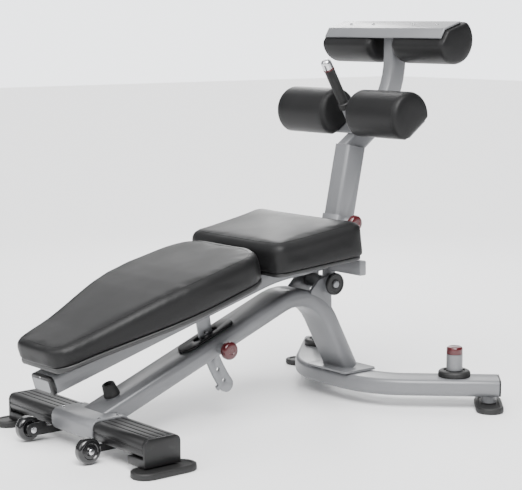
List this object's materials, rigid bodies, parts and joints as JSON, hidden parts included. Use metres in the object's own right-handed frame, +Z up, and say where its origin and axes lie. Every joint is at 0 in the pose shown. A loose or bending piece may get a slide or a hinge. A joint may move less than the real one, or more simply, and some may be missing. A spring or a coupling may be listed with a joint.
{
  "type": "adjustable weight bench",
  "caption": "Adjustable decline bench with a tapered back pad, seat, sliding leg-hold tower with roller pads, pull-pin adjusters, transport wheels and weight posts.",
  "frame": {"origin": "on the floor, under the middle of the bounding box", "axes": "+X along the bench toward the leg-hold tower, +Y to its left side, +Z up"},
  "size_m": [1.3861, 0.9344, 1.1249],
  "materials": {
    "silver_paint": "satin silver-grey powder coat",
    "black_vinyl": "satin grained vinyl upholstery",
    "black_plastic": "satin moulded plastic",
    "black_rubber": "matt rubber",
    "dark_red_plastic": "glossy dark red",
    "bright_steel": "bright plated steel"
  },
  "bodies": {
    "base": {"bow_cap_left": "black_plastic", "bow_cap_right": "black_plastic", "bumper": "black_rubber", "foot_cap_left": "black_plastic", "foot_cap_right": "black_plastic", "foot_cover_left": "black_plastic", "foot_cover_right": "black_plastic", "front_foot_left": "black_rubber", "front_foot_right": "black_rubber", "front_saddle": "silver_paint", "front_tube": "silver_paint", "leg_plate": "silver_paint", "main_beam": "silver_paint", "pivot_cap_left": "black_plastic", "pivot_cap_right": "black_plastic", "pivot_ear_left": "silver_paint", "pivot_ear_right": "silver_paint", "pivot_shaft": "bright_steel", "post_base_left": "black_plastic", "post_base_right": "black_plastic", "post_cap_left": "dark_red_plastic", "post_cap_right": "dark_red_plastic", "post_left": "silver_paint", "post_right": "silver_paint", "rear_bow": "silver_paint", "rear_foot_left": "black_rubber", "rear_foot_right": "black_rubber", "slot_bezel": "black_plastic", "wheel_bolt_left": "bright_steel", "wheel_bolt_right": "bright_steel", "wheel_bracket_left": "black_plastic", "wheel_bracket_right": "black_plastic"},
    "upper_frame": {"back_cushion": "black_vinyl", "back_mount": "silver_paint", "back_pan": "black_plastic", "crossbar_left": "silver_paint", "crossbar_right": "silver_paint", "decline_strap": "bright_steel", "low_end_cap": "black_plastic", "pivot_hub": "silver_paint", "seat_cushion": "black_vinyl", "seat_mount": "silver_paint", "seat_pan": "black_plastic", "tower_socket": "silver_paint", "upper_beam": "silver_paint"},
    "tower": {"handle_cap": "bright_steel", "handle_grip": "black_plastic", "handle_stem": "silver_paint", "lower_pad_left": "black_vinyl", "lower_pad_plate": "silver_paint", "lower_pad_right": "black_vinyl", "tower": "silver_paint", "upper_pad_left": "black_vinyl", "upper_pad_plate": "silver_paint", "upper_pad_right": "black_vinyl"},
    "decline_pin": {"decline_pin": "dark_red_plastic"},
    "tower_pin": {"tower_pin": "dark_red_plastic"},
    "wheel_left": {"wheel_left": "black_plastic"},
    "wheel_right": {"wheel_right": "black_plastic"}
  },
  "joints": [
    {"name": "recline", "type": "hinge", "parent": "base", "child": "upper_frame", "pos_m": [0.296, 0, 0.362], "axis": [0, 1, 0], "range_deg": [-4, 12]},
    {"name": "tower_height", "type": "slide", "parent": "upper_frame", "child": "tower", "axis": [0.208, 0, 0.9781], "range_m": [0, 0.075]},
    {"name": "decline_pull", "type": "slide", "parent": "base", "child": "decline_pin", "axis": [0, -1, 0], "range_m": [0, 0.012], "stiffness_N_per_m": 600},
    {"name": "tower_pull", "type": "slide", "parent": "upper_frame", "child": "tower_pin", "axis": [0, -1, 0], "range_m": [0, 0.012], "stiffness_N_per_m": 600},
    {"name": "wheel_left_spin", "type": "hinge", "parent": "base", "child": "wheel_left", "pos_m": [-0.621, 0.147, 0.0375], "axis": [0, 1, 0], "continuous": true},
    {"name": "wheel_right_spin", "type": "hinge", "parent": "base", "child": "wheel_right", "pos_m": [-0.621, -0.147, 0.0375], "axis": [0, 1, 0], "continuous": true}
  ]
}
